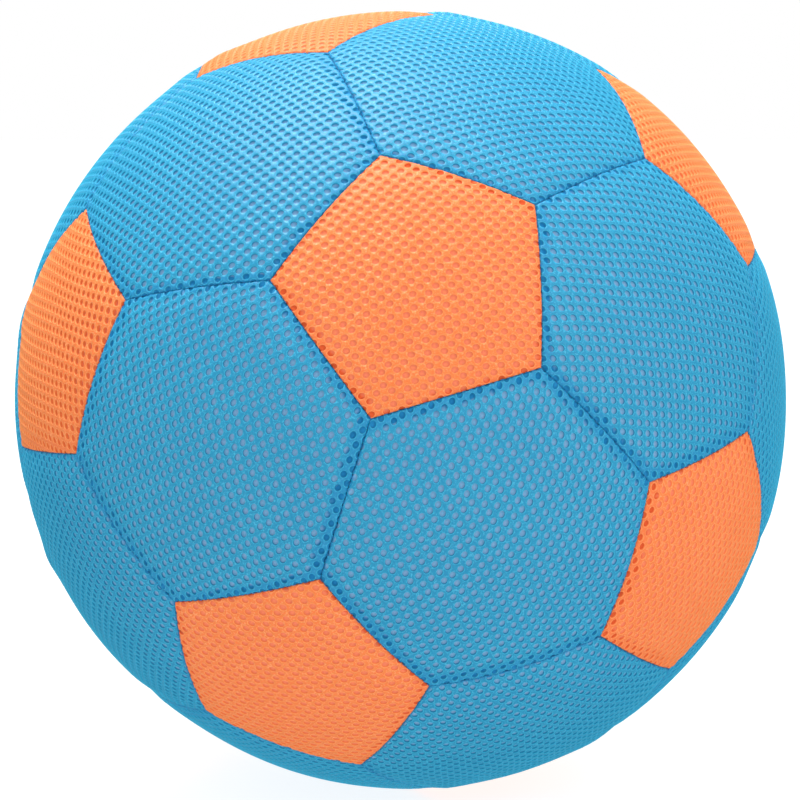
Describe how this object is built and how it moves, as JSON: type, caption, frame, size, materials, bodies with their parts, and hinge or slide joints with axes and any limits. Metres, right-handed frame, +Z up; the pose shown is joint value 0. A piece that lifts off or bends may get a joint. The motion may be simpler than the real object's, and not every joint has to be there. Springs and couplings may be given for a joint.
{
  "type": "inflatable soccer ball",
  "caption": "Inflatable ball: a sewn cover of pentagonal and hexagonal mesh-fabric panels over a vinyl bladder, with a zip at the back to reach the valve.",
  "frame": {"origin": "the ball's centre", "axes": "+Z up as the ball lies in the picture, whose camera looks along +Y from 8 degrees above with +X to the right; the zip is at the back, facing about +Y and a little +X"},
  "size_m": [0.35, 0.349, 0.3498],
  "materials": {
    "blue_mesh_fabric": "open air mesh, matte polyester",
    "orange_mesh_fabric": "open air mesh, matte polyester",
    "sewing_thread": "twisted polyester thread",
    "bladder_vinyl": "soft vinyl film, satin",
    "valve_vinyl": "clear soft vinyl",
    "zip_tape": "woven polyester tape",
    "zip_coil_nylon": "nylon coil, satin",
    "slider_enamel": "baked enamel on zinc",
    "zip_stop_metal": "nickel plated"
  },
  "bodies": {
    "cover": {"hexagon_panel_01": "blue_mesh_fabric", "hexagon_panel_02": "blue_mesh_fabric", "hexagon_panel_03": "blue_mesh_fabric", "hexagon_panel_04": "blue_mesh_fabric", "hexagon_panel_05": "blue_mesh_fabric", "hexagon_panel_06": "blue_mesh_fabric", "hexagon_panel_07": "blue_mesh_fabric", "hexagon_panel_08": "blue_mesh_fabric", "hexagon_panel_09": "blue_mesh_fabric", "hexagon_panel_10": "blue_mesh_fabric", "hexagon_panel_11": "blue_mesh_fabric", "hexagon_panel_12": "blue_mesh_fabric", "hexagon_panel_13": "blue_mesh_fabric", "hexagon_panel_14": "blue_mesh_fabric", "hexagon_panel_15": "blue_mesh_fabric", "hexagon_panel_16": "blue_mesh_fabric", "hexagon_panel_17": "blue_mesh_fabric", "hexagon_panel_18": "blue_mesh_fabric", "hexagon_panel_19": "blue_mesh_fabric", "zip_panel_left": "blue_mesh_fabric", "zip_panel_right": "blue_mesh_fabric", "pentagon_panel_01": "orange_mesh_fabric", "pentagon_panel_02": "orange_mesh_fabric", "pentagon_panel_03": "orange_mesh_fabric", "pentagon_panel_04": "orange_mesh_fabric", "pentagon_panel_05": "orange_mesh_fabric", "pentagon_panel_06": "orange_mesh_fabric", "pentagon_panel_07": "orange_mesh_fabric", "pentagon_panel_08": "orange_mesh_fabric", "pentagon_panel_09": "orange_mesh_fabric", "pentagon_panel_10": "orange_mesh_fabric", "pentagon_panel_11": "orange_mesh_fabric", "pentagon_panel_12": "orange_mesh_fabric", "seam_thread": "sewing_thread", "bladder": "bladder_vinyl", "valve_body": "valve_vinyl", "valve_plug": "valve_vinyl", "valve_flap": "valve_vinyl", "zip_tape_left": "zip_tape", "zip_tape_right": "zip_tape", "zip_coil_left": "zip_coil_nylon", "zip_coil_right": "zip_coil_nylon", "zip_top_stop_left": "zip_stop_metal", "zip_top_stop_right": "zip_stop_metal", "zip_bottom_stop": "zip_stop_metal"},
    "slider": {"zip_slider": "slider_enamel"},
    "pull": {"zip_pull": "slider_enamel"}
  },
  "joints": [
    {"name": "zip_run", "type": "hinge", "parent": "cover", "child": "slider", "pos_m": [0, 0, 0], "axis": [-0.8711, 0.4508, -0.1947], "range_deg": [0, 31.8], "deforming": ["zip_coil_left", "zip_coil_right"]},
    {"name": "pull_swing", "type": "hinge", "parent": "slider", "child": "pull", "pos_m": [0.07042, 0.15501, 0.0438], "axis": [0.8711, -0.4508, 0.1947], "range_deg": [0, 160]}
  ]
}
